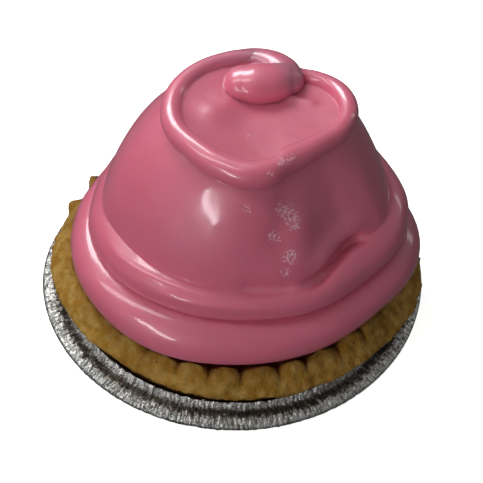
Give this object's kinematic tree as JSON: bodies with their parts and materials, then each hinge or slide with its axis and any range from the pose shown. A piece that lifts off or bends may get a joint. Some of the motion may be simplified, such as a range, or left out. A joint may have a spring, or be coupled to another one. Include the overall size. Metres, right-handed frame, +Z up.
{
  "type": "strawberry melba tart",
  "caption": "Small crimped pastry tart in a shallow round foil tin, under a tall piped mound of glossy pink icing with rolled folds and a curled loop on top.",
  "frame": {"origin": "centre of the tin's base, on the surface it stands on", "axes": "+Z up; -Y towards the side where the loop on top comes to its point; +X to the right of that side"},
  "size_m": [0.0832, 0.084, 0.0661],
  "materials": {
    "foil": "thin crinkled foil, bright with sharp sparkles",
    "pastry": "matt golden baked shortcrust, browner in the notches",
    "icing": "smooth glossy opaque pink fondant"
  },
  "bodies": {
    "root": {"foil_tin": "foil", "pastry_case": "pastry", "pink_icing": "icing"}
  },
  "joints": []
}
